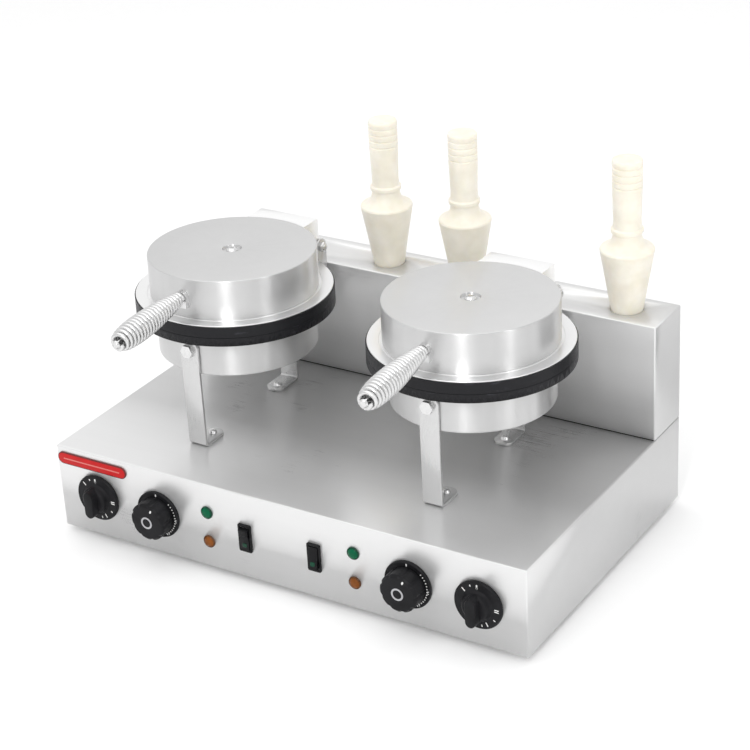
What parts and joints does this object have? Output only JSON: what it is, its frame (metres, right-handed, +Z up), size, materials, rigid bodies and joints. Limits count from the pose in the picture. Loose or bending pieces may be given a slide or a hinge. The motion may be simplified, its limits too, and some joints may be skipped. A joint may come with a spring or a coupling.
{
  "type": "waffle cone maker",
  "caption": "Electric waffle cone maker with two round hinged baking heads on a steel base, front controls and a rear holder for cone formers.",
  "frame": {"origin": "centre of the whole part's footprint at table level, handles and rear gland included", "axes": "+X to the operator's right along the wide side, +Y away from the operator, +Z up"},
  "size_m": [0.57, 0.411, 0.4035],
  "materials": {
    "brushed_steel": "fine horizontal brushing",
    "spun_steel": "satin, turned",
    "strip_steel": "satin sheet",
    "ring_aluminium": "machined bright",
    "plate_coating": null,
    "heater_metal": "oxidised sheath",
    "zinc_hardware": "bright zinc",
    "handle_chrome": "bright plated wire",
    "knob_black": "moulded satin black with white marks",
    "black_plastic": "moulded black",
    "terminal_white": "off-white insulator",
    "badge_red": "glossy red with bright rim",
    "lens_green": "clear green lens",
    "lens_amber": "clear amber lens",
    "former_nylon": "cream turned nylon",
    "foot_rubber": "moulded"
  },
  "bodies": {
    "frame": {"base_shell": "brushed_steel", "bottom_plate": "brushed_steel", "feet": "foot_rubber", "rear_housing": "brushed_steel", "rear_panel": "brushed_steel", "panel_screws": "zinc_hardware", "cable_gland": "black_plastic", "terminal_block": "terminal_white", "badge": "badge_red", "leg_bolts": "zinc_hardware", "hinge_bolts": "zinc_hardware", "left_front_leg": "strip_steel", "left_rear_leg": "strip_steel", "left_lower_can": "spun_steel", "left_lower_heater": "heater_metal", "left_lower_plate": "plate_coating", "left_hinge_base": "strip_steel", "left_timer_body": "terminal_white", "left_thermostat_body": "terminal_white", "left_thermostat_bezel": "knob_black", "left_green_lamp": "lens_green", "left_amber_lamp": "lens_amber", "left_switch_body": "black_plastic", "right_front_leg": "strip_steel", "right_rear_leg": "strip_steel", "right_lower_can": "spun_steel", "right_lower_heater": "heater_metal", "right_lower_plate": "plate_coating", "right_hinge_base": "strip_steel", "right_timer_body": "terminal_white", "right_thermostat_body": "terminal_white", "right_thermostat_bezel": "knob_black", "right_green_lamp": "lens_green", "right_amber_lamp": "lens_amber", "right_switch_body": "black_plastic"},
    "left_lid": {"left_upper_plate": "plate_coating", "left_upper_heater": "heater_metal", "left_lid_ring": "ring_aluminium", "left_lid_can": "spun_steel", "left_lid_screw": "zinc_hardware", "left_lid_bracket": "strip_steel", "left_handle_rod": "handle_chrome", "left_handle_coil": "handle_chrome"},
    "right_lid": {"right_upper_plate": "plate_coating", "right_upper_heater": "heater_metal", "right_lid_ring": "ring_aluminium", "right_lid_can": "spun_steel", "right_lid_screw": "zinc_hardware", "right_lid_bracket": "strip_steel", "right_handle_rod": "handle_chrome", "right_handle_coil": "handle_chrome"},
    "left_timer": {"left_timer_knob": "knob_black"},
    "left_thermostat": {"left_thermostat_knob": "knob_black"},
    "left_rocker": {"left_switch_rocker": "black_plastic"},
    "right_timer": {"right_timer_knob": "knob_black"},
    "right_thermostat": {"right_thermostat_knob": "knob_black"},
    "right_rocker": {"right_switch_rocker": "black_plastic"},
    "former_left": {"cone_former_left": "former_nylon"},
    "former_middle": {"cone_former_middle": "former_nylon"},
    "former_right": {"cone_former_right": "former_nylon"}
  },
  "joints": [
    {"name": "left_lid_hinge", "type": "hinge", "parent": "frame", "child": "left_lid", "pos_m": [-0.1443, 0.11044, 0.26516], "axis": [-1, 0, 0], "range_deg": [0, 80]},
    {"name": "left_timer_turn", "type": "hinge", "parent": "frame", "child": "left_timer", "pos_m": [-0.2326, -0.16349, 0.055], "axis": [0, 1, 0], "range_deg": [0, 300]},
    {"name": "left_thermostat_turn", "type": "hinge", "parent": "frame", "child": "left_thermostat", "pos_m": [-0.153, -0.16349, 0.055], "axis": [0, 1, 0], "range_deg": [0, 280]},
    {"name": "right_lid_hinge", "type": "hinge", "parent": "frame", "child": "right_lid", "pos_m": [0.1443, 0.11044, 0.26516], "axis": [-1, 0, 0], "range_deg": [0, 80]},
    {"name": "right_timer_turn", "type": "hinge", "parent": "frame", "child": "right_timer", "pos_m": [0.2326, -0.16349, 0.055], "axis": [0, 1, 0], "range_deg": [0, 300]},
    {"name": "right_thermostat_turn", "type": "hinge", "parent": "frame", "child": "right_thermostat", "pos_m": [0.153, -0.16349, 0.055], "axis": [0, 1, 0], "range_deg": [0, 280]},
    {"name": "left_switch_rock", "type": "hinge", "parent": "frame", "child": "left_rocker", "pos_m": [-0.0423, -0.15349, 0.055], "axis": [1, 0, 0], "range_deg": [-16, 0]},
    {"name": "right_switch_rock", "type": "hinge", "parent": "frame", "child": "right_rocker", "pos_m": [0.0423, -0.15349, 0.055], "axis": [1, 0, 0], "range_deg": [0, 16]},
    {"name": "left_former_lift", "type": "slide", "parent": "frame", "child": "former_left", "axis": [0, 0, 1], "range_m": [0, 0.104]},
    {"name": "middle_former_lift", "type": "slide", "parent": "frame", "child": "former_middle", "axis": [0, 0, 1], "range_m": [0, 0.104]},
    {"name": "right_former_lift", "type": "slide", "parent": "frame", "child": "former_right", "axis": [0, 0, 1], "range_m": [0, 0.104]}
  ]
}
